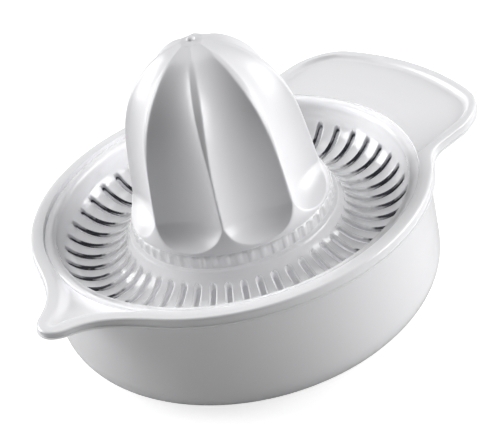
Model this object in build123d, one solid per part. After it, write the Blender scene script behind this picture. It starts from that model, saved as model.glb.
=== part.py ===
from build123d import *
import math
import os

# Hand citrus juicer: a bowl with a pouring spout and a handle, a clear strainer that
# hangs in the bowl, and a fluted reamer cone that stands on the strainer.
# Frame: origin at the centre of the bowl's flat base, +Z up, the handle points to +X.
# All lengths are millimetres, all angles degrees.

# --- bowl ---
RIM_TOP = 46.3            # height of the bowl's rim
RIM_RADIUS = 75.0         # outside of the rim
RIM_SKIRT = 4.2           # height of the rim's outer face
RIM_ROUND = 0.9           # rounding along the rim's edges
WALL_RADIUS = 72.9        # outside of the bowl's wall
WALL = 2.4                # wall thickness
BASE_ROUND = 13.0         # outer rounding between wall and base
SEAT_RADIUS = 69.7        # recess that the strainer's flange drops into
SEAT_TOP = 43.3           # height of the step under the flange
SEAT_INNER = 67.6         # inner edge of that step
SEAT_DEPTH = 1.8          # thickness of the step at its inner edge

LAP = 0.6                 # how far pieces of the moulding run into each other

# --- handle ---
HANDLE_HALF = 47.6        # half of the handle's width
HANDLE_END = 101.0        # how far the handle reaches from the bowl's axis
HANDLE_BOW = 112.0        # radius of its bowed outer edge
HANDLE_CORNER = 25.0      # radius of its outer corners
HANDLE_RISE = 2.8         # upward tilt of the handle
HANDLE_HINGE = 58.0       # where the tilt starts
HANDLE_BEAD = 4.4         # width of the raised bead round its edge
HANDLE_DISH = 1.7         # depth of the dished top inside the bead
HANDLE_THICK = 4.0        # height of the handle's edge

# --- spout ---
SPOUT_TURN = 186.0        # direction of the spout, counted from the handle
SPOUT_TIP = 92.2          # how far its tip reaches from the bowl's axis
SPOUT_BLEND = 12.0        # rounding where the spout leaves the round rim
SPOUT_BEAD = 3.4          # width of the bead beside the channel
SPOUT_FLOOR_IN = 41.9     # height of the channel's floor where it leaves the bowl
SPOUT_FLOOR_OUT = 45.4    # height of the floor at the tip

# --- strainer ---
SHELL = 1.6               # thickness of the clear moulding
FLANGE_RADIUS = 69.4
FLANGE_TOP = 44.8
TROUGH_MIDDLE = 52.0      # radius of the trough's lowest line
TROUGH_CENTRE = 42.6      # height of the centre of the trough's round section
TROUGH_ARC = 13.6         # radius of the trough's round section
SLOTS = 48
SLOT_PHASE = 0.7
SLOT_WIDTH = 1.9
SLOT_INNER = 41.0         # radius at which a slot starts
SLOT_OUTER = 64.0         # radius at which a slot ends
COLLAR_RADIUS = 37.3
COLLAR_TOP = 43.3
LEDGE_TOP = 38.1          # small ledge at the foot of the collar
COLLAR_RIBS = 54
COLLAR_RIB_WIDTH = 1.3
COLLAR_RIB_OUT = 0.5
BOSS_LOW = 25.0           # flat-to-axis distance of the eight-sided boss at its foot
BOSS_HIGH = 23.6          # the same at its top
BOSS_TOP = 60.0

# --- reamer cone ---
CONE_BASE = 37.0          # radius at the foot
CONE_FOOT = COLLAR_TOP    # the cone stands on the collar
FLUTES = 8
RIDGE_PHASE = 3.2         # direction of the first ridge
DOME_TOP = 108.1          # height at which the ridges meet
NUB_RADIUS = 1.5          # moulding nub on the tip
NUB_FOOT = 104.0
NUB_TOP = 109.1
KEY_GAP = 0.5             # clearance between the boss and the pocket inside the cone
CONE_LIP = 34.6           # inner radius of the cone's foot
CONE_THROAT = 26.8        # where its flared mouth meets the pocket
CONE_THROAT_TOP = 51.5


def polar(radius, angle):
    """A point at a distance from the axis, in a direction."""
    turn = math.radians(angle)
    return (radius * math.cos(turn), radius * math.sin(turn))


def ring(profile):
    """Revolve a closed outline of (radius, height) points about the axis."""
    return revolve(Plane.XZ * make_face(Polyline(*profile, close=True)), Axis.Z)


# ---------------------------------------------------------------- bowl

def spout_outline(shrink):
    """Plan of the spout along +X; shrink moves its edge inwards.

    The flank starts inside the round rim and ends beside the tip.
    """
    tip = SPOUT_TIP - shrink
    root = 55.0
    flank = [
        (66.0, 33.6),
        (69.9, 27.4),
        (74.1, 19.8),
        (79.8, 12.9),
        (85.6, 8.7),
    ]
    side = [(x - 0.45 * shrink, y - 0.9 * shrink) for x, y in flank]
    side.append((tip - 2.2, 5.0 - 0.45 * shrink))
    mirror = [(x, -y) for x, y in reversed(side)]
    edge = Spline(*side, (tip, 0), *mirror)
    back = Polyline(mirror[-1], (root, mirror[-1][1]), (root, side[0][1]), side[0])
    return make_face(edge + back)


def handle_outline(shrink):
    """Plan of the handle along +X; shrink moves its edge inwards."""
    half = HANDLE_HALF - shrink
    bow = HANDLE_BOW - shrink
    disc = Pos(HANDLE_END - HANDLE_BOW, 0) * Circle(bow)
    root = 25.5
    strip = Pos(root + HANDLE_END / 2, 0) * Rectangle(HANDLE_END, 2 * half)
    plan = disc & strip
    corners = plan.vertices().filter_by(lambda v: v.X > HANDLE_HINGE)
    return fillet(corners, HANDLE_CORNER - shrink)


def handle_tilt():
    """Placement that tilts the handle about a line across the bowl."""
    return Pos(HANDLE_HINGE, 0, RIM_TOP) * Rot(0, -HANDLE_RISE, 0) * Pos(-HANDLE_HINGE, 0, 0)


def soften(body, low):
    """Round the upper edges of a flat slab, those that lie above a height."""
    level = body.edges().filter_by(lambda e: e.bounding_box().size.Z < 0.01)
    top = level.filter_by(lambda e: e.center().Z > low)
    return fillet(top, RIM_ROUND)


def make_bowl():
    """One moulding: round bowl, rim, spout and handle."""
    inner = WALL_RADIUS - WALL
    wall_top = RIM_TOP - 1.0
    wall_line = [
        Line((0, 0), (WALL_RADIUS - BASE_ROUND, 0)),
        RadiusArc((WALL_RADIUS - BASE_ROUND, 0), (WALL_RADIUS, BASE_ROUND), -BASE_ROUND),
        Line((WALL_RADIUS, BASE_ROUND), (WALL_RADIUS, wall_top)),
        Line((WALL_RADIUS, wall_top), (inner, wall_top)),
        Line((inner, wall_top), (inner, BASE_ROUND)),
        RadiusArc((inner, BASE_ROUND), (WALL_RADIUS - BASE_ROUND, WALL), BASE_ROUND - WALL),
        Line((WALL_RADIUS - BASE_ROUND, WALL), (0, WALL)),
        Line((0, WALL), (0, 0)),
    ]
    body = revolve(Plane.XZ * make_face(wall_line), Axis.Z)

    rim_plan = Circle(RIM_RADIUS) + Rot(0, 0, SPOUT_TURN) * spout_outline(0)
    rim_plan = fillet(rim_plan.vertices(), SPOUT_BLEND)
    rim = Pos(0, 0, RIM_TOP - RIM_SKIRT) * extrude(rim_plan, RIM_SKIRT)
    rim = soften(rim, RIM_TOP - 0.1)

    slab = Pos(0, 0, -HANDLE_THICK) * extrude(handle_outline(0), HANDLE_THICK)
    slab = handle_tilt() * soften(slab, -0.1)
    step_foot = SEAT_TOP - SEAT_DEPTH - (inner - SEAT_INNER)
    step = ring([
        (inner + LAP, step_foot),
        (inner + LAP, SEAT_TOP + LAP),
        (SEAT_INNER, SEAT_TOP + LAP),
        (SEAT_INNER, SEAT_TOP - SEAT_DEPTH),
        (inner, step_foot),
    ])
    shell = body + rim + slab

    # open the inside again, add the step, and cut the recess above it
    clear = 6
    mouth = Pos(0, 0, RIM_TOP - RIM_SKIRT - clear) * extrude(Circle(inner), RIM_SKIRT + 2 * clear)
    shell = shell - mouth + step
    recess_wall = ring([
        (SEAT_RADIUS, SEAT_TOP),
        (inner + LAP, SEAT_TOP),
        (inner + LAP, RIM_TOP),
        (SEAT_RADIUS, RIM_TOP),
    ])
    recess = Pos(0, 0, SEAT_TOP) * extrude(Circle(SEAT_RADIUS), 2 * clear)
    shell = shell + recess_wall - recess

    # dished top of the handle, open towards the strainer
    dish_plan = handle_outline(HANDLE_BEAD)
    dish = Pos(0, 0, -HANDLE_DISH) * extrude(dish_plan, 2 * clear, taper=-20)
    shell = shell - handle_tilt() * dish
    return shell - make_channel()


def make_channel():
    """Cutter for the spout's channel: its floor climbs towards the tip."""
    start = SEAT_INNER - 6
    end = SPOUT_TIP + 2
    above = RIM_TOP + 6
    side = Plane.XZ * make_face(Polyline(
        (start, SPOUT_FLOOR_IN),
        (SEAT_RADIUS, SPOUT_FLOOR_IN),
        (end, SPOUT_FLOOR_OUT + 0.3),
        (end, above),
        (start, above),
        close=True,
    ))
    wedge = extrude(side, 60, both=True)
    plan = Pos(0, 0, SPOUT_FLOOR_IN - 6) * extrude(spout_outline(SPOUT_BEAD), 24)
    return Rot(0, 0, SPOUT_TURN) * (plan & wedge)


# ---------------------------------------------------------------- strainer

def trough_radius(arc, height):
    """Half-width of the trough's round section at a height."""
    return math.sqrt(arc ** 2 - (TROUGH_CENTRE - height) ** 2)


def make_strainer():
    """One clear moulding: flange, slotted trough, ribbed collar and boss."""
    under = TROUGH_ARC + SHELL
    low = FLANGE_TOP - 1.5
    bevel = 1.0
    top_out = TROUGH_MIDDLE + TROUGH_ARC
    foot_in = TROUGH_MIDDLE - trough_radius(TROUGH_ARC, LEDGE_TOP)
    under_in = TROUGH_MIDDLE - trough_radius(under, LEDGE_TOP)
    deck = COLLAR_TOP - SHELL
    inside = COLLAR_RADIUS - SHELL
    outline = [
        Line((FLANGE_RADIUS, low), (FLANGE_RADIUS, FLANGE_TOP)),
        Line((FLANGE_RADIUS, FLANGE_TOP), (top_out + bevel, FLANGE_TOP)),
        Line((top_out + bevel, FLANGE_TOP), (top_out, FLANGE_TOP - bevel)),
        Line((top_out, FLANGE_TOP - bevel), (top_out, TROUGH_CENTRE)),
        ThreePointArc(
            (top_out, TROUGH_CENTRE),
            (TROUGH_MIDDLE, TROUGH_CENTRE - TROUGH_ARC),
            (foot_in, LEDGE_TOP),
        ),
        Line((foot_in, LEDGE_TOP), (COLLAR_RADIUS, LEDGE_TOP)),
        Line((COLLAR_RADIUS, LEDGE_TOP), (COLLAR_RADIUS, COLLAR_TOP)),
        Line((COLLAR_RADIUS, COLLAR_TOP), (0, COLLAR_TOP)),
        Line((0, COLLAR_TOP), (0, deck)),
        Line((0, deck), (inside, deck)),
        Line((inside, deck), (inside, LEDGE_TOP + bevel)),
        Line((inside, LEDGE_TOP + bevel), (under_in, LEDGE_TOP)),
        ThreePointArc(
            (under_in, LEDGE_TOP),
            (TROUGH_MIDDLE, TROUGH_CENTRE - under),
            (TROUGH_MIDDLE + under, TROUGH_CENTRE),
        ),
        Line((TROUGH_MIDDLE + under, TROUGH_CENTRE), (TROUGH_MIDDLE + under, low)),
        Line((TROUGH_MIDDLE + under, low), (FLANGE_RADIUS, low)),
    ]
    shell = revolve(Plane.XZ * make_face(outline), Axis.Z)
    slot_plan = SlotOverall(SLOT_OUTER - SLOT_INNER, SLOT_WIDTH)
    slot = Pos((SLOT_OUTER + SLOT_INNER) / 2, 0, LEDGE_TOP - 16) * extrude(slot_plan, 18)
    slots = [Rot(0, 0, SLOT_PHASE + n * 360 / SLOTS) * slot for n in range(SLOTS)]
    shell = shell - slots

    rib_high = COLLAR_TOP - LEDGE_TOP - 0.8
    rib = Pos(COLLAR_RADIUS, 0, (LEDGE_TOP + COLLAR_TOP) / 2) * Box(
        2 * COLLAR_RIB_OUT, COLLAR_RIB_WIDTH, rib_high)
    ribs = [Rot(0, 0, n * 360 / COLLAR_RIBS) * rib for n in range(COLLAR_RIBS)]
    shell = shell + ribs
    boss_hollow = boss(-SHELL, deck - 1, BOSS_TOP - SHELL)
    return shell - boss_hollow + (boss(0, deck, BOSS_TOP) - boss_hollow)


def octagon(flat, height):
    """Eight-sided section, corners under the cone's ridges."""
    shape = RegularPolygon(flat, FLUTES, major_radius=False)
    return Pos(0, 0, height) * Rot(0, 0, RIDGE_PHASE) * shape


def boss(grow, low, high):
    """Tapered eight-sided block; grow moves its flats outwards."""
    slope = (BOSS_HIGH - BOSS_LOW) / (BOSS_TOP - COLLAR_TOP)
    start = BOSS_LOW + slope * (low - COLLAR_TOP) + grow
    end = BOSS_LOW + slope * (high - COLLAR_TOP) + grow
    return loft([octagon(start, low), octagon(end, high)])


# ---------------------------------------------------------------- reamer cone

# stations up the cone: height, radius of the ridges, half-width of the flat land on
# each ridge, and radius of the round cutter that hollows a flute there
CONE_STATIONS = [
    (52.0, 34.6, 0.3, 29.0),
    (60.0, 33.6, 0.3, 28.0),
    (68.0, 32.5, 0.3, 27.0),
    (76.0, 31.2, 0.5, 25.0),
    (84.0, 28.9, 0.8, 21.5),
    (92.0, 24.9, 0.9, 18.0),
    (99.0, 18.9, 0.8, 14.5),
    (104.0, 12.2, 0.6, 12.0),
    (107.4, 4.4, 0.4, 10.0),
]
# foot of a flute, where it runs out: height, radius of its bottom, cutter radius
FLUTE_FOOT = [
    (43.8, 37.4, 12.0),
    (45.2, 34.8, 16.0),
    (47.4, 31.9, 21.0),
    (49.6, 29.9, 25.5),
]


def flute_section(height, ridge, land, radius):
    """Round section of the flute cutter, placed so that it meets both ridges."""
    half_angle = math.radians(180 / FLUTES) - land / ridge
    half = ridge * math.sin(half_angle)
    centre = ridge * math.cos(half_angle) + math.sqrt(radius ** 2 - half ** 2)
    return Pos(centre, 0, height) * Circle(radius)


def make_flute():
    """Cutter for one flute along +X."""
    foot = [Pos(low + radius, 0, height) * Circle(radius) for height, low, radius in FLUTE_FOOT]
    return loft(foot + [flute_section(*station) for station in CONE_STATIONS])


def make_cone():
    """One hollow moulding with eight flutes between sharp ridges."""
    crest = [(ridge, height) for height, ridge, land, cutter in CONE_STATIONS]
    foot_edge = (CONE_BASE - 0.2, CONE_FOOT + 1.0)
    dome_line = [
        Line((0, CONE_FOOT), (CONE_BASE, CONE_FOOT)),
        Line((CONE_BASE, CONE_FOOT), foot_edge),
        Spline(foot_edge, *crest, (0.6, DOME_TOP)),
        Line((0.6, DOME_TOP), (0, DOME_TOP)),
        Line((0, DOME_TOP), (0, CONE_FOOT)),
    ]
    dome = revolve(Plane.XZ * make_face(dome_line), Axis.Z)
    flute = make_flute()
    step = 360 / FLUTES
    wedge = extrude(make_face(Polyline(
        (0, 0), polar(60, -step / 2), (75, 0), polar(60, step / 2), close=True)), 120)
    sector = (dome & wedge) - flute
    turns = [RIDGE_PHASE + (n + 0.5) * step for n in range(FLUTES)]
    body = Part() + [Rot(0, 0, turn) * sector for turn in turns]
    nub = Pos(0, 0, (NUB_FOOT + NUB_TOP) / 2) * Cylinder(NUB_RADIUS, NUB_TOP - NUB_FOOT)
    nub = fillet(nub.edges().group_by(Axis.Z)[-1], 0.6)
    body = body + nub
    skirt_in = ring([
        (0, CONE_FOOT),
        (CONE_LIP, CONE_FOOT),
        (CONE_LIP - 0.6, CONE_FOOT + 1.2),
        (CONE_THROAT, CONE_THROAT_TOP),
        (0, CONE_THROAT_TOP),
    ])
    dome_in = ring([
        (0, BOSS_TOP + 1),
        (24.4, BOSS_TOP + 1),
        (23.8, 74.0),
        (21.6, 84.0),
        (18.8, 91.0),
        (14.0, 98.0),
        (9.6, 102.0),
        (3.5, 105.0),
        (0, 105.2),
    ])
    pocket = boss(KEY_GAP, CONE_FOOT, BOSS_TOP + 1.5)
    return body - skirt_in - dome_in - pocket


def main():
    """Build and write every piece."""
    os.makedirs("parts", exist_ok=True)
    export_step(make_bowl(), "parts/bowl.step")
    export_step(make_strainer(), "parts/strainer.step")
    export_step(make_cone(), "parts/reamer_cone.step")


main()
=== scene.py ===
import math

import bpy
import numpy as np
from mathutils import Matrix


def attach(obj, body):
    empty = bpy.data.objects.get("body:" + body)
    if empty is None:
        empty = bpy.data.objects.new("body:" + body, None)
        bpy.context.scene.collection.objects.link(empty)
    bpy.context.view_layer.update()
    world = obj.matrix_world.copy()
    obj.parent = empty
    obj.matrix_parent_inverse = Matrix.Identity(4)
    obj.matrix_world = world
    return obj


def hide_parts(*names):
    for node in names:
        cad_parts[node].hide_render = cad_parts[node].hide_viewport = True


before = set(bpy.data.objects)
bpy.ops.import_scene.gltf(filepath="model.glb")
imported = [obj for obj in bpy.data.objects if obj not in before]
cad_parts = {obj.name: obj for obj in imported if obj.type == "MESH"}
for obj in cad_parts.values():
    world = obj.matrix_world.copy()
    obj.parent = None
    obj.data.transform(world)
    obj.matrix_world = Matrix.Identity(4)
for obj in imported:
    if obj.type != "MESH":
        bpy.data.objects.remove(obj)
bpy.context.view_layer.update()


# ------------------------------------------------------------------ bowl
# The bowl is one injection moulding in glossy white plastic: a straight-sided bowl with a
# raised rim that runs on round a dished handle and a pouring spout. It stands on its
# flat base, and a step inside the rim carries the strainer. Lengths are millimetres.

RIM_TOP = 46.3
RIM_RADIUS = 75.0
SKIRT = 4.1
WALL_RADIUS = 72.9
WALL = 2.4
BASE_ROUND = 13.0
SEAT_RADIUS = 69.7
SEAT_TOP = 43.3
SEAT_INNER = 67.6
HANDLE_HALF = 47.5
HANDLE_END = 100.95
HANDLE_BOW = 110.0
HANDLE_CORNER = 14.4
HANDLE_ROOT = 20.0          # under the bowl, where the handle's outline starts
HANDLE_BLEND = 5.0          # reach of the soft corner between rim and handle
HANDLE_HINGE = 58.0
HANDLE_SLOPE = math.tan(math.radians(2.8))
HANDLE_DISH = 1.7
SPOUT_TURN = math.radians(186.0)
SPOUT_ROOT = 55.0
SPOUT_NOSE = 85.72
SPOUT_HALF = 6.0            # half of the spout's width, before it blends into the rim
SPOUT_TAPER = 0.65          # how much narrower it is at its nose
SPOUT_BLEND = 26.2          # reach of the wide fillet between rim and spout
SPOUT_FLOOR = (42.2, 45.4)  # height of the channel's floor at the bowl and at the nose
CHANNEL_HALF = (12.0, 27.0) # half widths at which the channel is at full depth, and gone
CHANNEL_BANK = (2.9, 6.2)   # distances from the edge between which it falls to its floor
BEAD = 4.2
BEAD_MIDDLE = 2.4
EDGE_ROUND = 0.75
CROWN = 0.25                # the bead's middle stands this much above its edges
TIP_THINNER = 1.6           # the spout's lip is this much thinner than the skirt
LIP_THINS = (66.0, 86.0)    # how far out along the spout it starts and stops thinning
SKIRT_INSET = 0.6           # the skirt lies this far inside the small bead at its foot
SKIRT_FILLET = 0.7          # round between the wall and the skirt's underside
BOWL_COLUMNS = 900
EVENNESS = 60.0             # the higher, the more evenly the columns stand round the bowl
BOWL_WHITE = (0.87, 0.87, 0.885)
BOWL_ROUGH = 0.16
TURN = np.linspace(0.0, 2.0 * math.pi, 7201)    # fine steps once round, for measuring


def smooth_step(low, high, value):
    """0 below low, 1 above high, and 3t^2 - 2t^3 between them."""
    t = np.clip((value - low) / (high - low), 0.0, 1.0)
    return t * t * (3.0 - 2.0 * t)


def soft_min(a, b, reach):
    """The lesser of two lengths, blended where they differ by less than reach."""
    h = np.clip(0.5 + 0.5 * (b - a) / reach, 0.0, 1.0)
    return b + (a - b) * h - reach * h * (1.0 - h)


def spout_axes(x, y):
    """Distances along and across the spout's own axis."""
    c, s = math.cos(SPOUT_TURN), math.sin(SPOUT_TURN)
    return x * c + y * s, y * c - x * s


def handle_distance(x, y):
    """Signed distance in plan from the handle's edge: a strip ended by a large circle.

    Its corners are rounded: past both inner lines the distance is measured from their
    crossing, less the corner's radius. It ends under the bowl.
    """
    side = np.abs(y) - HANDLE_HALF + HANDLE_CORNER
    end = np.hypot(x - HANDLE_END + HANDLE_BOW, y) - HANDLE_BOW + HANDLE_CORNER
    strip = np.minimum(np.maximum(side, end), 0.0) - HANDLE_CORNER
    strip = strip + np.hypot(np.maximum(side, 0.0), np.maximum(end, 0.0))
    return np.maximum(strip, HANDLE_ROOT - x)


def outline_distance(x, y):
    """Signed distance in plan from the bowl's outer edge, negative inside.

    It is the least of three: the distances to the rim's circle, to the handle and to the
    spout (a tapering capsule), blended into each other by soft_min.
    """
    rim = np.hypot(x, y) - RIM_RADIUS
    u, v = spout_axes(x, y)
    t = np.clip((u - SPOUT_ROOT) / (SPOUT_NOSE - SPOUT_ROOT), 0.0, 1.0)
    nearest = SPOUT_ROOT + t * (SPOUT_NOSE - SPOUT_ROOT)
    spout = np.hypot(u - nearest, v) - SPOUT_HALF + SPOUT_TAPER * t
    body = soft_min(rim, handle_distance(x, y), HANDLE_BLEND)
    return soft_min(body, spout, SPOUT_BLEND)


def inset_radius(turn, inset):
    """Radius, in each direction, of the line that lies inset inside the outer edge.

    Halves the span between 60 and 110 until the distance there equals -inset.
    """
    low = np.full(np.broadcast(turn, inset).shape, 60.0)
    high = np.full_like(low, 110.0)
    for _ in range(40):
        middle = 0.5 * (low + high)
        inside = outline_distance(middle * np.cos(turn), middle * np.sin(turn)) < -inset
        low = np.where(inside, middle, low)
        high = np.where(inside, high, middle)
    return 0.5 * (low + high)


def rim_tilt(x, y):
    """Rise of the handle above the level rim: a plane hinged across the bowl, which
    counts only outside the rim's circle and comes in softly there.
    """
    beyond = np.maximum(x - HANDLE_HINGE, 0.0)
    near = smooth_step(-1.0, 4.0, np.hypot(x, y) - RIM_RADIUS)
    return HANDLE_SLOPE * beyond * near


def rim_surface(x, y):
    """Height of the rim, handle and spout seen from above.

    From the edge inwards by d: a small round, a low crown across the bead, and past the
    bead a smooth fall to the dish of the handle or the channel of the spout.
    """
    d = -outline_distance(x, y) - SKIRT_INSET
    edge = np.clip(d, 0.0, EDGE_ROUND)
    round_off = EDGE_ROUND - np.sqrt(np.maximum(EDGE_ROUND ** 2 - (EDGE_ROUND - edge) ** 2, 0.0))
    crown = CROWN * np.clip(d / BEAD_MIDDLE - 1.0, -1.0, 1.2) ** 2
    u, v = spout_axes(x, y)
    along = np.clip((u - SEAT_RADIUS) / (SPOUT_NOSE + 2.0 - SEAT_RADIUS), 0.0, 1.0)
    channel = RIM_TOP - (SPOUT_FLOOR[0] + along * (SPOUT_FLOOR[1] - SPOUT_FLOOR[0]))
    share = smooth_step(CHANNEL_HALF[1], CHANNEL_HALF[0], np.abs(v)) * (u > 0)
    in_spout = share * smooth_step(CHANNEL_BANK[0], CHANNEL_BANK[1], d)
    in_dish = smooth_step(BEAD - 0.9, BEAD + 1.5, -handle_distance(x, y)) * (x > 0)
    top = RIM_TOP + rim_tilt(x, y) - round_off - crown * (1.0 - np.maximum(in_spout, in_dish))
    return top - channel * in_spout - HANDLE_DISH * in_dish


def spread(weight, count):
    """Directions that share out the given density evenly, count of them."""
    total = np.concatenate([[0.0], np.cumsum(0.5 * (weight[1:] + weight[:-1]))])
    return np.interp(np.arange(count) / count, total / total[-1], TURN)


def grid_piece(name, grid, sharp=40.0):
    """A mesh over a grid of points (row, column, xyz in millimetres).

    Each point is joined to its neighbours in the row and the column, and the columns close
    into rings. A row whose points all coincide becomes one pole.
    """
    rows, columns = grid.shape[:2]
    index = np.arange(rows * columns).reshape(rows, columns)
    a, b = index[:-1], np.roll(index[:-1], -1, axis=1)
    c, d = np.roll(index[1:], -1, axis=1), index[1:]
    quads = np.stack([a, b, c, d], axis=-1).reshape(-1, 4)
    return face_piece(name, grid.reshape(-1, 3), quads, sharp, np.zeros(len(quads), np.int32))


def face_piece(name, points, quads, sharp, finish_number):
    """A mesh from points in millimetres and four-cornered faces with their finishes' numbers.

    Points in one place, to a millionth of a millimetre, become one point. A face drops the
    corners that repeat, and is left out when two remain. The faces point outwards: where the
    sum of the signed volumes of their pyramids on the origin is negative, they are turned.
    """
    _, first, same = np.unique(
        np.round(points, 6) + 0.0, axis=0, return_index=True, return_inverse=True)
    points = points[first] * 0.001
    faces = same.reshape(-1)[quads]
    p, q, r, s = (points[faces[:, k]] for k in range(4))
    volume = np.einsum("ij,ij->", p, np.cross(q, r)) + np.einsum("ij,ij->", p, np.cross(r, s))
    if volume < 0.0:
        faces = faces[:, ::-1]
    new_corner = faces != np.roll(faces, 1, axis=1)
    whole = new_corner.sum(axis=1) > 2
    faces, new_corner = faces[whole], new_corner[whole]
    used, corners = np.unique(faces[new_corner], return_inverse=True)
    counts = new_corner.sum(axis=1)
    mesh = bpy.data.meshes.new(name)
    mesh.vertices.add(len(used))
    mesh.vertices.foreach_set("co", points[used].astype(np.float32).reshape(-1))
    mesh.loops.add(len(corners))
    mesh.loops.foreach_set("vertex_index", corners.reshape(-1).astype(np.int32))
    mesh.polygons.add(len(counts))
    mesh.polygons.foreach_set("loop_start", (np.cumsum(counts) - counts).astype(np.int32))
    mesh.polygons.foreach_set("material_index", finish_number[whole])
    mesh.update(calc_edges=True)
    mesh.shade_smooth()
    mesh.set_sharp_from_angle(angle=math.radians(sharp))
    piece = bpy.data.objects.new(name, mesh)
    bpy.context.scene.collection.objects.link(piece)
    return piece


def arc(centre, radius, start, end, count):
    """Points (radius, height) on a circle: its centre plus radius times (cos, sin) of
    count angles in degrees, evenly spaced from start to end.
    """
    a = np.radians(np.linspace(start, end, count))
    return np.stack([centre[0] + radius * np.cos(a), centre[1] + radius * np.sin(a)], axis=-1)


def ring_rows(profile, turn):
    """Sweep (radius, height) pairs round the axis: x = r cos, y = r sin, z = height."""
    r, z = profile[:, :1], profile[:, 1:]
    return np.stack([r * np.cos(turn), r * np.sin(turn), z + 0.0 * turn], axis=-1)


edge_r = inset_radius(TURN, 0.0)
edge_step = np.hypot(np.gradient(edge_r, TURN), edge_r)
bowl_turn = spread(edge_step + EVENNESS, BOWL_COLUMNS)
inner_r = WALL_RADIUS - WALL
base_in = WALL_RADIUS - BASE_ROUND
skirt_root = RIM_TOP - SKIRT - SKIRT_FILLET

outside = np.vstack([
    [[0.0, 0.0], [base_in * 0.5, 0.0], [base_in, 0.0]],
    arc((base_in, BASE_ROUND), BASE_ROUND, -84, 0, 14),
    [[WALL_RADIUS, 28.0], [WALL_RADIUS, skirt_root]],
    arc((WALL_RADIUS + SKIRT_FILLET, skirt_root), SKIRT_FILLET, 160, 90, 4),
])
inside = np.vstack([
    [[SEAT_RADIUS, SEAT_TOP + 0.3], [SEAT_RADIUS - 0.3, SEAT_TOP], [SEAT_INNER + 0.3, SEAT_TOP]],
    [[SEAT_INNER, SEAT_TOP - 0.3], [SEAT_INNER, SEAT_TOP - 1.8], [inner_r, SEAT_TOP - 4.7]],
    [[inner_r, 28.0], [inner_r, BASE_ROUND]],
    arc((base_in, BASE_ROUND), BASE_ROUND - WALL, -6, -90, 12),
    [[base_in * 0.5, WALL], [0.0, WALL]],
])

# the skirt hangs from the edge: a small round below, then straight up
lip = inset_radius(bowl_turn, 0.0)
lip_x, lip_y = lip * np.cos(bowl_turn), lip * np.sin(bowl_turn)
lip_thins = smooth_step(*LIP_THINS, spout_axes(lip_x, lip_y)[0])
lip_scale = 1.0 - TIP_THINNER / SKIRT * lip_thins
lip_low = RIM_TOP + rim_tilt(lip_x, lip_y) - SKIRT * lip_scale
skirt_line = np.array([
    (0.9, -0.1), (0.35, -0.08), (0.08, 0.08), (0.0, 0.3), (0.06, 0.55), (0.25, 0.68),
    (SKIRT_INSET, 0.75), (SKIRT_INSET, SKIRT - EDGE_ROUND - 0.2),
])
skirt_r = inset_radius(bowl_turn, skirt_line[:, :1])
skirt_rows = np.stack([
    skirt_r * np.cos(bowl_turn),
    skirt_r * np.sin(bowl_turn),
    lip_low + skirt_line[:, 1:] * lip_scale,
], axis=-1)

# the top runs in from the edge: across the bead, then by shares of the way to the seat
bead_insets = SKIRT_INSET + np.array(
    [0.0, 0.03, 0.1, 0.22, 0.4, 0.75, 1.3, 1.9, 2.5, 3.0, 3.3, 3.6, 3.85])
bead_r = inset_radius(bowl_turn, bead_insets[:, None])
shares = np.array([0.03, 0.07, 0.12, 0.18, 0.26, 0.36, 0.48, 0.6, 0.72, 0.84, 0.94, 1.0])
top_r = np.concatenate([bead_r, bead_r[-1] + (SEAT_RADIUS - bead_r[-1]) * shares[:, None]])
top_x, top_y = top_r * np.cos(bowl_turn), top_r * np.sin(bowl_turn)
top_rows = np.stack([top_x, top_y, rim_surface(top_x, top_y)], axis=-1)

# where the spout's channel runs lower than the seat, the first rows inside stay below it
inside_rows = ring_rows(inside, bowl_turn)
seat_limit = top_rows[-1:, :, 2] - 0.02 * np.arange(1, 7)[:, None]
inside_rows[:6, :, 2] = np.minimum(inside_rows[:6, :, 2], seat_limit)
bowl_grid = np.concatenate([
    ring_rows(outside, bowl_turn),
    skirt_rows,
    top_rows,
    inside_rows,
])
bowl = grid_piece("bowl_shell", bowl_grid)


class Socket:
    """Wraps a node's output so that + - and * on it add Math nodes."""

    def __init__(self, tree, link):
        self.tree = tree
        self.link = link

    def math(self, operation, other, swap=False):
        """One Math node on this value and another, in that order unless swapped."""
        pair = [other, self] if swap else [self, other]
        return self.tree.node("ShaderNodeMath", {"operation": operation}, dict(enumerate(pair)))

    def __add__(self, other):
        return self.math("ADD", other)

    def __radd__(self, other):
        return self.math("ADD", other)

    def __sub__(self, other):
        return self.math("SUBTRACT", other)

    def __rsub__(self, other):
        return self.math("SUBTRACT", other, swap=True)

    def __mul__(self, other):
        return self.math("MULTIPLY", other)

    def __rmul__(self, other):
        return self.math("MULTIPLY", other)


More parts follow.
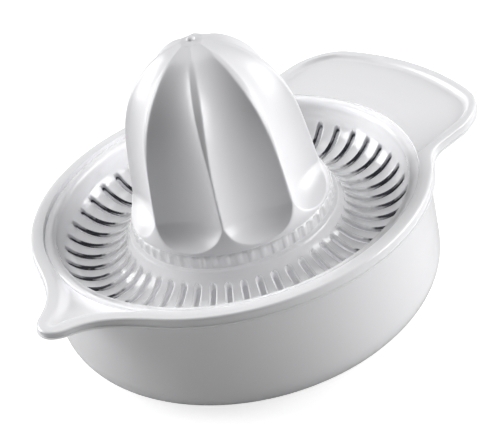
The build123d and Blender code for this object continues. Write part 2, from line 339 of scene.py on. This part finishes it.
class Finish:
    """A material, or the world's backdrop, and its nodes, which node() makes."""

    def __init__(self, name, backdrop=False):
        makers = bpy.data.worlds if backdrop else bpy.data.materials
        self.material = makers.new(name)
        self.material.use_nodes = True
        self.tree = self.material.node_tree
        self.shader = self.tree.nodes["Background" if backdrop else "Principled BSDF"]

    def node(self, kind, settings=None, inputs=None, output=0):
        """A node of a kind: its settings or ramp stops first, then its sockets."""
        made = self.tree.nodes.new(kind)
        for key, value in (settings or {}).items():
            if key == "stops":
                ramp = made.color_ramp
                for _ in value[2:]:
                    ramp.elements.new(1.0)
                for element, (at, color) in zip(ramp.elements, value):
                    element.position = at
                    element.color = color
            else:
                setattr(made, key, value)
        for key, value in (inputs or {}).items():
            self.put(made.inputs[key], value)
        return Socket(self, made.outputs[output])

    def put(self, socket, value):
        """Links a wrapped output to a socket, or sets a plain value on it."""
        if isinstance(value, Socket):
            self.tree.links.new(value.link, socket)
        else:
            socket.default_value = value

    def set(self, **values):
        """Sets sockets of the shader by name, with _ for each space."""
        for key, value in values.items():
            self.put(self.shader.inputs[key.replace("_", " ")], value)

    def place(self):
        """The point's place on the finished object, in metres."""
        return self.node("ShaderNodeTexCoord", None, None, output=3)

    def show(self, surface):
        """Makes a shader the one that the material shows."""
        output = self.tree.nodes["Material Output"]
        self.tree.links.new(surface.link, output.inputs["Surface"])

    def let_light_through(self, tint):
        """Lamps shine straight through: their rays see a plain tint, all others the shader."""
        lamp_ray = self.node("ShaderNodeLightPath", output=1)
        tinted = self.node("ShaderNodeBsdfTransparent", {}, {"Color": tint})
        solid = Socket(self, self.shader.outputs[0])
        self.show(self.node("ShaderNodeMixShader", {}, {0: lamp_ray, 1: solid, 2: tinted}))


def moulded_white(name, color, rough):
    """Glossy white plastic: faint flow marks in colour and gloss, and a fine soft ripple."""
    finish = Finish(name)
    spot = finish.place()
    cloud = finish.node("ShaderNodeTexNoise", {}, {"Vector": spot, "Scale": 26.0, "Detail": 3.0})
    grain = finish.node("ShaderNodeTexNoise", {}, {"Vector": spot, "Scale": 900.0, "Detail": 2.0})
    wave = finish.node("ShaderNodeTexNoise", {}, {"Vector": spot, "Scale": 60.0, "Detail": 1.0})
    tint = finish.node("ShaderNodeMix", {"data_type": "RGBA"}, {
        0: cloud,
        6: (color[0] * 0.985, color[1] * 0.985, color[2] * 0.985, 1.0),
        7: (color[0], color[1], color[2], 1.0),
    }, output=2)
    finish.set(Base_Color=tint)
    finish.set(Roughness=rough + 0.05 * cloud + 0.02 * grain)
    height = 0.75 * wave + 0.25 * grain
    bump = finish.node("ShaderNodeBump", {}, {"Strength": 0.05, "Distance": 0.0004, "Height": height})
    finish.set(Normal=bump)
    finish.set(IOR=1.53)
    return finish.material


bowl.data.materials.append(moulded_white("bowl_white", BOWL_WHITE, BOWL_ROUGH))
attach(bowl, "bowl")
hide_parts("bowl")


# ------------------------------------------------------------------ reamer cone
# The cone is a hollow white moulding with eight ridges and hollow flutes between them.
# The flutes run out in round arches just above its foot. A moulding nub marks its tip.

FLUTES = 8
RIDGE_PHASE = math.radians(3.2)
CONE_FOOT = 43.3
CONE_HEIGHT = np.array([43.3, 44.3, 52.0, 60.0, 68.0, 76.0, 84.0, 92.0, 99.0, 104.0, 107.4, 108.1])
CONE_CREST = np.array([37.0, 36.8, 34.6, 33.6, 32.5, 31.2, 28.9, 24.9, 18.9, 12.2, 4.4, 0.6])
FLUTE_HEIGHT = np.array([43.8, 44.7, 46.6, 49.2, 52.6, 60.0, 68.0, 76.0, 84.0, 92.0, 99.0, 104.0, 107.4])
FLUTE_RADIUS = np.array([12.0, 16.0, 21.0, 25.5, 29.0, 28.0, 27.0, 25.0, 21.5, 18.0, 14.5, 12.0, 10.0])
FLUTE_BOTTOM = np.array([37.4, 35.3, 32.4, 30.2])   # radius of its bottom at the four lowest
LAND = np.array([0.3, 0.3, 0.3, 0.55, 0.95, 1.25, 1.15, 0.8, 0.4])  # half a ridge, above those
FLUTE_SHARE = 0.9           # share of the columns that lie inside a flute
POCKET_SPAN = (51.0, 61.0)  # heights between which the hollow is eight-sided
POCKET_SPREAD = 1.06        # its corners stand at this times the hollow's radii
FLUTE_EDGE = 0.45           # reach of the soft edge between flute and ridge
CONE_COLUMNS = 80           # columns from one ridge to the next
CONE_ROWS = 110
CONE_WHITE = (0.79, 0.79, 0.81)
CONE_ROUGH = 0.27
NUB_COLUMNS = 32
NUB_WHITE = (0.8, 0.8, 0.82)
NUB_ROUGH = 0.5


def smooth_curve(at, xs, ys):
    """Cubic Hermite curve through the points, with slopes that never overshoot."""
    step = np.diff(xs)
    rise = np.diff(ys) / step
    slope = np.zeros_like(ys)
    same = rise[:-1] * rise[1:] > 0
    weight_a, weight_b = 2 * step[1:] + step[:-1], step[1:] + 2 * step[:-1]
    with np.errstate(divide="ignore", invalid="ignore"):
        harmonic = (weight_a + weight_b) / (weight_a / rise[:-1] + weight_b / rise[1:])
    slope[1:-1] = np.where(same, harmonic, 0.0)
    slope[0], slope[-1] = rise[0], rise[-1]
    k = np.clip(np.searchsorted(xs, at) - 1, 0, len(xs) - 2)
    t = (at - xs[k]) / step[k]
    a = (1 + 2 * t) * (1 - t) ** 2 * ys[k] + t * (1 - t) ** 2 * step[k] * slope[k]
    b = t * t * (3 - 2 * t) * ys[k + 1] + t * t * (t - 1) * step[k] * slope[k + 1]
    return a + b


half_sector = math.pi / FLUTES
flute_crest = smooth_curve(FLUTE_HEIGHT, CONE_HEIGHT, CONE_CREST)
flute_angle = np.full(len(FLUTE_HEIGHT), half_sector)
flute_angle[4:] -= LAND / flute_crest[4:]
flute_half = flute_crest * np.sin(flute_angle)
flute_centre = flute_crest * np.cos(flute_angle) + np.sqrt(
    np.maximum(FLUTE_RADIUS ** 2 - flute_half ** 2, 0.0))
flute_centre[:4] = FLUTE_BOTTOM + FLUTE_RADIUS[:4]

# rows by length along the crest, closer together near the foot and the tip
crest_z = np.linspace(CONE_FOOT, CONE_HEIGHT[-1], 4000)
crest_r = smooth_curve(crest_z, CONE_HEIGHT, CONE_CREST)
crest_len = np.concatenate([[0.0], np.cumsum(np.hypot(np.diff(crest_z), np.diff(crest_r)))])
density = 1.0 + 2.5 * np.exp(-((crest_z - 47.5) / 5.0) ** 2) + 1.0 * (crest_z > 106.0)
marks = np.concatenate([[0.0], np.cumsum(np.diff(crest_len) * density[1:])])
row_z = np.interp(np.linspace(0.0, 1.0, CONE_ROWS), marks / marks[-1], crest_z)
row_r = smooth_curve(row_z, CONE_HEIGHT, CONE_CREST)
row_cut = smooth_curve(row_z, FLUTE_HEIGHT, FLUTE_RADIUS)
row_mid = smooth_curve(row_z, FLUTE_HEIGHT, flute_centre)

# the angle at which a flute meets the crest surface, from the triangle of the two radii
cosine = (row_mid ** 2 + row_r ** 2 - row_cut ** 2) / (2.0 * row_mid * row_r)
meet = np.where(row_z < FLUTE_HEIGHT[0], 0.0, np.arccos(np.clip(cosine, -1.0, 1.0)))
meet = np.minimum(meet, half_sector * 0.995)

u = np.linspace(-1.0, 1.0, CONE_COLUMNS, endpoint=False)
inner_u = np.sign(u) * (1.0 - (1.0 - np.minimum(np.abs(u) / FLUTE_SHARE, 1.0)) ** 1.35)
outer_u = np.clip((np.abs(u) - FLUTE_SHARE) / (1.0 - FLUTE_SHARE), 0.0, 1.0)
local = meet[:, None] * inner_u + np.sign(u) * (half_sector - meet[:, None]) * outer_u
flute_r = row_mid[:, None] * np.cos(local) - np.sqrt(
    np.maximum(row_cut[:, None] ** 2 - (row_mid[:, None] * np.sin(local)) ** 2, 0.0))
fluted = (row_z >= FLUTE_HEIGHT[0]) & (row_z <= FLUTE_HEIGHT[-1])
flute_r = np.where(fluted[:, None], flute_r, 99.0)
skin_r = soft_min(row_r[:, None] + 0.0 * local, flute_r, FLUTE_EDGE)
turns = RIDGE_PHASE + (np.arange(FLUTES) + 0.5) * 2.0 * half_sector
cone_turn = (turns[None, :, None] + local[:, None, :]).reshape(len(row_z), -1)
cone_skin = np.repeat(skin_r[:, None, :], FLUTES, axis=1).reshape(len(row_z), -1)
cone_rows = np.stack([
    cone_skin * np.cos(cone_turn),
    cone_skin * np.sin(cone_turn),
    np.broadcast_to(row_z[:, None], cone_turn.shape),
], axis=-1)

# the hollow underneath: a flared mouth, an eight-sided pocket for the boss, a domed top
hollow = np.array([
    [34.6, 43.3], [34.0, 44.5], [30.4, 48.0], [26.8, 51.5], [25.6, 53.0], [25.0, 60.0],
    [24.2, 62.0], [23.8, 74.0], [21.6, 84.0], [18.8, 91.0], [14.0, 98.0], [9.6, 102.0],
    [3.5, 105.0], [0.0, 105.2],
])
base_turn = cone_turn[0]
eight = np.cos(half_sector) / np.cos((base_turn - RIDGE_PHASE) % (2 * half_sector) - half_sector)
in_pocket = (hollow[:, 1:] > POCKET_SPAN[0]) & (hollow[:, 1:] < POCKET_SPAN[1])
eight = np.where(in_pocket, eight * POCKET_SPREAD, 1.0)
hollow_rows = np.stack([
    hollow[:, :1] * eight * np.cos(base_turn),
    hollow[:, :1] * eight * np.sin(base_turn),
    hollow[:, 1:] + 0.0 * base_turn,
], axis=-1)
tip_row = np.zeros((1, cone_turn.shape[1], 3))
tip_row[..., 2] = CONE_HEIGHT[-1]
cone = grid_piece("cone_shell", np.concatenate([tip_row, cone_rows[::-1], hollow_rows]), sharp=50.0)
cone.data.materials.append(moulded_white("cone_white", CONE_WHITE, CONE_ROUGH))
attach(cone, "cone")
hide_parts("reamer_cone")

nub_profile = np.array([
    [0.0, 106.6], [1.7, 106.6], [1.65, 107.9], [1.5, 108.3], [1.25, 108.65], [0.9, 108.9],
    [0.5, 109.02], [0.0, 109.05],
])
nub_turn = np.linspace(0.0, 2.0 * math.pi, NUB_COLUMNS, endpoint=False)
nub = grid_piece("cone_nub", ring_rows(nub_profile, nub_turn))
nub.data.materials.append(moulded_white("nub_white", NUB_WHITE, NUB_ROUGH))
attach(nub, "cone")


# ------------------------------------------------------------------ strainer
# The strainer is a clear moulding that hangs in the bowl by its flange. Its trough is cut
# by narrow radial slots; inside, a ribbed collar carries the cone, and a hollow
# eight-sided boss stands up into it.

SHELL = 1.6
TROUGH_MIDDLE = 52.0
TROUGH_CENTRE = 42.6
TROUGH_ARC = 13.6
FLANGE_RADIUS = 69.4
FLANGE_TOP = 44.8
SLOTS = 48
SLOT_PHASE = math.radians(0.7)
SLOT_HALF = 0.95
SLOT_BEVEL = 0.5
SLOT_INNER = 41.0
SLOT_OUTER = 64.0
COLLAR_RADIUS = 37.3
COLLAR_TOP = 43.3
COLLAR_RIBS = 54
LEDGE_TOP = 38.1
BOSS_TOP = 60.0
BOSS_SPREAD = 1.055         # the boss's corners stand at this times its profile's radii
FLANGE_ROUND = 0.25
FOOT_GAP = 0.02             # keeps the collar's top just clear of the cone's foot
SLOT_COLUMNS = 5            # columns over one slot, then those over the bar beside it
BAR_COLUMNS = 8
STRAINER_MILK = 0.5         # share of the light that scatters instead of passing
STRAINER_ROUGH = 0.04


def trough_height(radius, arc_radius):
    """Height of the trough's round section at a radius from the axis."""
    return TROUGH_CENTRE - np.sqrt(np.maximum(arc_radius ** 2 - (radius - TROUGH_MIDDLE) ** 2, 0.0))


# radii of the rows across the slots, closer together near the slots' round ends
end_rows = SLOT_HALF * (1.0 - np.cos(np.radians([0.0, 30.0, 55.0, 75.0, 90.0])))
slot_r = np.concatenate([
    SLOT_INNER + end_rows,
    np.linspace(SLOT_INNER + 1.6, SLOT_OUTER - 1.6, 20),
    (SLOT_OUTER - end_rows)[::-1],
])
from_end = np.minimum(slot_r - SLOT_INNER, SLOT_OUTER - slot_r)
slot_half = np.sqrt(np.maximum(SLOT_HALF ** 2 - np.maximum(SLOT_HALF - from_end, 0.0) ** 2, 0.0))

outer_top = TROUGH_MIDDLE + TROUGH_ARC
outer_under = outer_top + SHELL
angles = np.degrees(np.arccos((slot_r[[0, -1]] - TROUGH_MIDDLE) / TROUGH_ARC))
under_angles = np.degrees(np.arccos((slot_r[[0, -1]] - TROUGH_MIDDLE) / (TROUGH_ARC + SHELL)))
ledge_angle = math.degrees(math.asin((TROUGH_CENTRE - LEDGE_TOP) / TROUGH_ARC))
centre = (TROUGH_MIDDLE, TROUGH_CENTRE)
top_outer = np.vstack([
    [[FLANGE_RADIUS, 43.5], [FLANGE_RADIUS, FLANGE_TOP - FLANGE_ROUND]],
    [[FLANGE_RADIUS - FLANGE_ROUND, FLANGE_TOP], [outer_top + 1.3, FLANGE_TOP]],
    [[outer_top + 0.5, FLANGE_TOP - FLANGE_ROUND]],
    [[outer_top + 0.1, FLANGE_TOP - 0.9], [outer_top, TROUGH_CENTRE]],
    arc(centre, TROUGH_ARC, -2, -angles[1] + 1.0, 10),
])
top_slots = np.stack([slot_r, trough_height(slot_r, TROUGH_ARC)], axis=-1)[::-1]
top_inner = np.vstack([
    arc(centre, TROUGH_ARC, -angles[0] - 1.0, ledge_angle - 180.0, 5),
    [[39.05, LEDGE_TOP + 0.05], [38.2, LEDGE_TOP], [COLLAR_RADIUS + 0.15, LEDGE_TOP + 0.1]],
])
collar_z = [LEDGE_TOP + 0.4, LEDGE_TOP + 0.8, 40.0, 41.4, 42.5, COLLAR_TOP - 0.3]
collar_rows = np.array([[COLLAR_RADIUS, z] for z in collar_z])
deck = COLLAR_TOP - FOOT_GAP
boss_rows = np.array([
    [COLLAR_RADIUS - 0.2, deck], [36.0, deck], [30.0, deck], [25.4, deck],
    [25.0, 43.9], [24.3, 52.0], [23.7, 59.4], [23.2, BOSS_TOP],
    [12.0, BOSS_TOP], [0.0, BOSS_TOP],
])
boss_under = np.array([
    [0.0, BOSS_TOP - SHELL], [12.0, BOSS_TOP - SHELL], [21.8, BOSS_TOP - SHELL],
    [22.1, 58.0], [22.8, 52.0], [23.4, 42.2],
    [24.0, 41.7], [30.0, 41.7], [35.4, 41.7], [35.7, 41.4], [35.7, 40.2], [35.9, 39.0],
])
foot_angle = math.degrees(math.asin((TROUGH_CENTRE - LEDGE_TOP) / (TROUGH_ARC + SHELL)))
under_inner = arc(centre, TROUGH_ARC + SHELL, foot_angle - 180.0, -under_angles[0] - 1.0, 5)
under_slots = np.stack([slot_r, trough_height(slot_r, TROUGH_ARC + SHELL)], axis=-1)
under_outer = np.vstack([
    arc(centre, TROUGH_ARC + SHELL, -under_angles[1] + 1.0, -2, 10),
    [[outer_under, 43.0], [outer_under + 0.2, 43.32], [68.4, 43.32], [69.2, 43.32]],
])

parts = [top_outer, top_slots, top_inner, collar_rows, boss_rows, boss_under, under_inner,
         under_slots, under_outer]
lengths = np.cumsum([0] + [len(p) for p in parts])
profile = np.vstack(parts)
top_span = slice(lengths[1], lengths[2])        # rows that cross the slots, above
under_span = slice(lengths[7], lengths[8])      # and below
half_open = np.zeros(len(profile))
half_open[top_span] = slot_half[::-1]
half_open[under_span] = slot_half
crosses = np.zeros(len(profile), bool)
crosses[top_span] = True
crosses[under_span] = True

# columns in one pitch: those over the slot, then those over the bar, with a bevel at each side
pitch = 2.0 * math.pi / SLOTS
per_pitch = SLOT_COLUMNS + BAR_COLUMNS
across = np.linspace(-1.0, 1.0, SLOT_COLUMNS)
beside = np.linspace(0.0, 1.0, BAR_COLUMNS)
turn_radius = np.maximum(profile[:, :1], 25.0)
slot_angle = np.arcsin(half_open[:, None] / turn_radius)
edge_angle = np.where(crosses[:, None], slot_angle, SLOT_HALF / turn_radius)
bevel_angle = edge_angle + SLOT_BEVEL / turn_radius
columns = np.concatenate([
    edge_angle * across,
    bevel_angle + (pitch - 2.0 * bevel_angle) * beside,
], axis=1)
strainer_turn = (SLOT_PHASE + pitch * np.arange(SLOTS)[None, :, None] + columns[:, None, :])
strainer_turn = strainer_turn.reshape(len(profile), -1)
pitch_column = np.arange(SLOTS * per_pitch) % per_pitch

# the collar's ribs swell its wall, and the boss is eight-sided
rib = 0.5 * smooth_step(-0.2, 0.75, np.cos(COLLAR_RIBS * strainer_turn))
swell = np.zeros(len(profile))
swell[lengths[3] + 1:lengths[4] - 1] = 1.0
radius = profile[:, :1] + rib * swell[:, None]
flat = 1.0 / np.cos((strainer_turn - RIDGE_PHASE) % (2 * half_sector) - half_sector)
flat = flat * math.cos(half_sector) * BOSS_SPREAD
near_boss = (profile[:, 0] < 25.9) & (profile[:, 1] > 41.9)
radius = np.where(near_boss[:, None], radius * flat, radius)
height = np.repeat(profile[:, 1:], strainer_turn.shape[1], axis=1)
lowered = trough_height(slot_r[::-1], TROUGH_ARC + SLOT_BEVEL)
height[top_span, pitch_column < SLOT_COLUMNS] = lowered[:, None]
strainer_grid = np.stack([
    radius * np.cos(strainer_turn),
    radius * np.sin(strainer_turn),
    height,
], axis=-1)

# faces between neighbours, except over the slots; the last row joins the first
index = np.arange(strainer_turn.size).reshape(strainer_turn.shape)
below_index = np.roll(index, -1, axis=0)
quads = np.stack([
    index,
    np.roll(index, -1, axis=1),
    np.roll(below_index, -1, axis=1),
    below_index,
], axis=-1)
keep = np.ones(index.shape, bool)
# the slots' top bevels take the second finish, with its painted reflection and highlight
bevel = np.zeros(index.shape, np.int32)
for start, stop in ((lengths[1], lengths[2] - 1), (lengths[7], lengths[8] - 1)):
    keep[start:stop] = pitch_column >= SLOT_COLUMNS - 1
bevel[lengths[1]:lengths[2] - 1] = np.isin(pitch_column, (SLOT_COLUMNS - 1, per_pitch - 1))

# walls of the slots join the top rows to the rows below them, edge by edge
top_index = index[top_span][::-1]
low_index = index[under_span]
left = np.arange(SLOTS) * per_pitch
right = left + SLOT_COLUMNS - 1
wall_left = np.stack([top_index[:-1][:, left], top_index[1:][:, left],
                      low_index[1:][:, left], low_index[:-1][:, left]], axis=-1)
wall_right = np.stack([top_index[1:][:, right], top_index[:-1][:, right],
                       low_index[:-1][:, right], low_index[1:][:, right]], axis=-1)
walls = np.concatenate([wall_left.reshape(-1, 4), wall_right.reshape(-1, 4)])
strainer = face_piece(
    "strainer_shell", strainer_grid.reshape(-1, 3), np.concatenate([quads[keep], walls[:, ::-1]]),
    50.0, np.concatenate([bevel[keep], np.ones(len(walls), np.int32)]))

# how far out along its slot a point of a slot's wall lies, and how far down the wall: they place the
# painted reflection and highlight on the walls
mesh = strainer.data
corner = np.empty(len(mesh.vertices) * 3, np.float32)
mesh.vertices.foreach_get("co", corner)
corner_r = np.hypot(corner[0::3], corner[1::3]) * 1000.0
reach = np.clip((corner_r - SLOT_INNER) / (SLOT_OUTER - SLOT_INNER), 0.0, 1.0)
from_arc = np.hypot(corner_r - TROUGH_MIDDLE, corner[2::3] * 1000.0 - TROUGH_CENTRE)
below = np.clip((from_arc - TROUGH_ARC - SLOT_BEVEL) / (SHELL - SLOT_BEVEL), 0.0, 1.0)
for name, values in (("along_slot", reach), ("down_wall", below)):
    mesh.attributes.new(name, "FLOAT", "POINT").data.foreach_set("value", values.astype(np.float32))


def clear_plastic(name, milk, rough):
    """Clear plastic with a faint milkiness: light partly passes and partly scatters."""
    clear = Finish(name)
    spot = clear.place()
    haze = clear.node("ShaderNodeTexNoise", {}, {"Vector": spot, "Scale": 45.0, "Detail": 2.0})
    ripple = clear.node("ShaderNodeTexNoise", {}, {"Vector": spot, "Scale": 120.0, "Detail": 2.0})
    clear.set(Base_Color=clear.node("ShaderNodeMix", {"data_type": "RGBA"}, {
        0: haze, 6: (0.95, 0.95, 0.96, 1.0), 7: (0.97, 0.97, 0.98, 1.0)}, output=2))
    clear.set(Roughness=rough + 0.06 * haze)
    clear.set(Normal=clear.node("ShaderNodeBump", {}, {
        "Strength": 0.06, "Distance": 0.0005, "Height": ripple}))
    clear.set(IOR=1.5, Transmission_Weight=1.0 - milk)
    clear.let_light_through((0.98, 0.98, 0.99, 1.0))
    return clear.material


def slot_wall_painted_reflection():
    """Walls and top bevels of the slots, with painted reflection and shade: their outer ends are painted
    dark as a painted reflection of the dark hollow below, in a dark line along the upper and lower edge
    with a painted bright thread between, and the inner ends are painted bright as a painted highlight.
    """
    wall = Finish("slot_wall_painted_reflection")
    reach = wall.node("ShaderNodeAttribute", {"attribute_name": "along_slot"}, output=2)
    middle = wall.node("ShaderNodeAttribute", {"attribute_name": "down_wall"}, output=2) - 0.5
    breakup = wall.node("ShaderNodeTexNoise", {}, {
        "Vector": wall.place(), "Scale": 400.0, "Detail": 1.0})
    # painted reflection: dark at the walls' outer ends and edges, a painted bright thread down the
    # middle, a painted highlight at the inner ends
    shade = wall.node("ShaderNodeValToRGB", {"stops": [
        (0.44, (0.97, 0.97, 0.98, 1.0)), (0.6, (0.05, 0.05, 0.06, 1.0)),
        (0.86, (0.04, 0.04, 0.05, 1.0)), (1.0, (0.42, 0.42, 0.44, 1.0))]},
        {"Fac": reach + 0.3 * (breakup - 0.5) + 0.75 * (middle * middle - 0.14)})
    wall.set(Base_Color=shade)
    wall.set(Roughness=0.12 + 0.1 * breakup)
    wall.set(IOR=1.5)
    return wall.material


strainer.data.materials.append(clear_plastic("strainer_clear", STRAINER_MILK, STRAINER_ROUGH))
# the second finish paints the dark reflections and bright highlights on the slots' walls and bevels
strainer.data.materials.append(slot_wall_painted_reflection())
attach(strainer, "strainer")
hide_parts("strainer")


# ------------------------------------------------------------------ stage, light, camera
# A plain pale floor that runs out into a white backdrop, two wide soft lights at the sides
# and one above, and a long-lens camera tilted down and rolled. Lights are in metres, in the
# viewer's frame: across, away and up. The camera's place is in millimetres.

FLOOR_HALF = 6.0
FLOOR_LOW = (0.57, 0.57, 0.57, 1.0)
FLOOR_HIGH = (0.59, 0.59, 0.59, 1.0)
FLOOR_GLOW_NEAR = (0.75, 0.75, 0.75, 1.0)
FLOOR_GLOW_FAR = (1.0, 1.0, 1.0, 1.0)
FLOOR_NEAR = 0.3                    # metres from the bowl where the glow starts to rise
FLOOR_FAR = 1.3
SKY_DIM = (0.09, 0.09, 0.09, 1.0)   # what the room gives as light
SKY_WHITE = (1.0, 1.0, 1.0, 1.0)    # what the view sees of it
BLACK = (0.0, 0.0, 0.0, 1.0)

floor_mesh = bpy.data.meshes.new("floor")
floor_corners = [(-1.0, -1.0, 0.0), (1.0, -1.0, 0.0), (1.0, 1.0, 0.0), (-1.0, 1.0, 0.0)]
floor_mesh.from_pydata((np.array(floor_corners) * FLOOR_HALF).tolist(), [], [(0, 1, 2, 3)])
floor = bpy.data.objects.new("floor", floor_mesh)
bpy.context.scene.collection.objects.link(floor)
pale = Finish("floor_white")
pale_cloud = pale.node("ShaderNodeTexNoise", {}, {"Vector": pale.place(), "Scale": 3.0, "Detail": 2.0})
pale.set(Base_Color=pale.node("ShaderNodeMix", {"data_type": "RGBA"}, {
    0: pale_cloud, 6: FLOOR_LOW, 7: FLOOR_HIGH}, output=2))
pale.set(Roughness=0.9)
pale.set(Specular_IOR_Level=0.0)
# the floor glows only to the view, not to the part, and more the farther it is from the bowl
from_bowl = pale.node("ShaderNodeVectorMath", {"operation": "LENGTH"}, {0: pale.place()}, output=1)
how_far = pale.node("ShaderNodeMapRange", {}, {
    "Value": from_bowl, "From Min": FLOOR_NEAR, "From Max": FLOOR_FAR})
glow = pale.node("ShaderNodeMix", {"data_type": "RGBA"}, {
    0: how_far, 6: FLOOR_GLOW_NEAR, 7: FLOOR_GLOW_FAR}, output=2)
seen = pale.node("ShaderNodeLightPath", output=0)
pale.set(Emission_Color=pale.node("ShaderNodeMix", {"data_type": "RGBA"}, {
    0: seen, 6: BLACK, 7: glow}, output=2))
pale.set(Emission_Strength=1.0)
floor.data.materials.append(pale.material)

scene = bpy.context.scene
# the backdrop shows white but lights the scene only faintly
sky = Finish("studio", backdrop=True)
sky.set(Color=sky.node("ShaderNodeMix", {"data_type": "RGBA"}, {
    0: sky.node("ShaderNodeLightPath", output=0), 6: SKY_DIM, 7: SKY_WHITE}, output=2))
scene.world = sky.material

VIEW_TURN = math.radians(33.8)      # how far the part is turned against the view
VIEW_TILT = math.radians(33.02)
VIEW_ROLL = math.radians(-13.78)
VIEW_FAR = 494.2                    # from the point looked at to the camera
VIEW_CENTRE_UP = 40.0
VIEW_SHIFT = (5.5, -5.4)            # how far the camera then stands to the right and up
FOCAL_SHARE = 2.692                 # focal length over the sensor's width
SENSOR = 36.0


def turned(vector):
    """A direction given across, away and up from the viewer, in the part's own frame."""
    x, y, z = vector
    c, s = math.cos(-VIEW_TURN), math.sin(-VIEW_TURN)
    return np.array([x * c - y * s, x * s + y * c, z])


def soft_light(name, place, aim, size, power):
    """A rectangular area light at place, facing aim; both in metres, viewer's frame."""
    data = bpy.data.lights.new(name, "AREA")
    data.shape = "RECTANGLE"
    data.size, data.size_y = size
    data.energy = power
    lamp = bpy.data.objects.new(name, data)
    scene.collection.objects.link(lamp)
    lamp.location = turned(place)
    back = turned(np.array(place)) - turned(np.array(aim))
    back = back / np.linalg.norm(back)
    side = np.cross([0.0, 0.0, 1.0] if abs(back[2]) < 0.99 else [0.0, 1.0, 0.0], back)
    side = side / np.linalg.norm(side)
    up = np.cross(back, side)
    lamp.rotation_mode = "QUATERNION"
    lamp.rotation_quaternion = Matrix(np.stack([side, up, back], axis=1).tolist()).to_quaternion()
    return lamp


LIGHTS = {      # place, size and power in watts
    "light_left": ((-1.4, 0.75, 0.6), (1.2, 1.2), 31.0),
    "light_right": ((1.5, -0.12, 0.4), (1.2, 0.9), 26.5),
    "light_top": ((0.0, 0.6, 1.9), (1.8, 1.2), 16.0),
}
for name, (place, size, power) in LIGHTS.items():
    soft_light(name, place, (0.0, 0.0, 0.05), size, power)

right_axis = np.array([1.0, 0.0, 0.0])
up_axis = np.array([0.0, math.sin(VIEW_TILT), math.cos(VIEW_TILT)])
ahead = np.array([0.0, math.cos(VIEW_TILT), -math.sin(VIEW_TILT)])
where = np.array([0.0, 0.0, VIEW_CENTRE_UP]) - VIEW_FAR * ahead
where = where + VIEW_SHIFT[0] * right_axis + VIEW_SHIFT[1] * up_axis
c, s = math.cos(VIEW_ROLL), math.sin(VIEW_ROLL)
cam_x = turned(c * right_axis + s * up_axis)
cam_y = turned(-s * right_axis + c * up_axis)
cam_z = turned(-ahead)
camera_data = bpy.data.cameras.new("view")
camera = bpy.data.objects.new("view", camera_data)
scene.collection.objects.link(camera)
camera_data.sensor_width = SENSOR
camera_data.lens = SENSOR * FOCAL_SHARE
camera.rotation_mode = "QUATERNION"
camera.rotation_quaternion = Matrix(np.stack([cam_x, cam_y, cam_z], axis=1).tolist()).to_quaternion()
camera.location = turned(where) * 0.001
scene.camera = camera
scene.view_settings.view_transform = "Standard"
